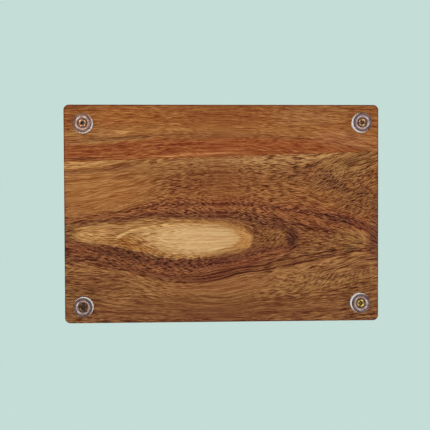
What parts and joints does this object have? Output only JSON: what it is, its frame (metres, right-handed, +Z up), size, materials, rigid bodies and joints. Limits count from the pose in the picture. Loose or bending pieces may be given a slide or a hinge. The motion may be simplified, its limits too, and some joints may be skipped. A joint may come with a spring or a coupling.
{
  "type": "cutting board",
  "caption": "Rectangular edge-glued acacia cutting board with rounded corners, a juice groove in its working face, and clear moulded cup feet held by cross-recess pan-head screws.",
  "frame": {"origin": "on the surface that the feet stand on, under the middle of the board", "axes": "+Z up out of the working face, +X along the length with the grain, -Y towards the edge that the narrow stave lies along"},
  "size_m": [0.33, 0.228, 0.0253],
  "materials": {
    "acacia_wide_stave": "sanded and oiled, low sheen",
    "acacia_narrow_stave": "sanded and oiled, low sheen, redder heartwood",
    "clear_vinyl_foot": "soft clear moulding, smooth",
    "yellow_zinc_screw": "yellow-passivated zinc on steel"
  },
  "bodies": {
    "root": {"wide_stave": "acacia_wide_stave", "narrow_stave": "acacia_narrow_stave", "foot_front_left": "clear_vinyl_foot", "foot_front_right": "clear_vinyl_foot", "foot_back_left": "clear_vinyl_foot", "foot_back_right": "clear_vinyl_foot", "screw_front_left": "yellow_zinc_screw", "screw_front_right": "yellow_zinc_screw", "screw_back_left": "yellow_zinc_screw", "screw_back_right": "yellow_zinc_screw"}
  },
  "joints": []
}
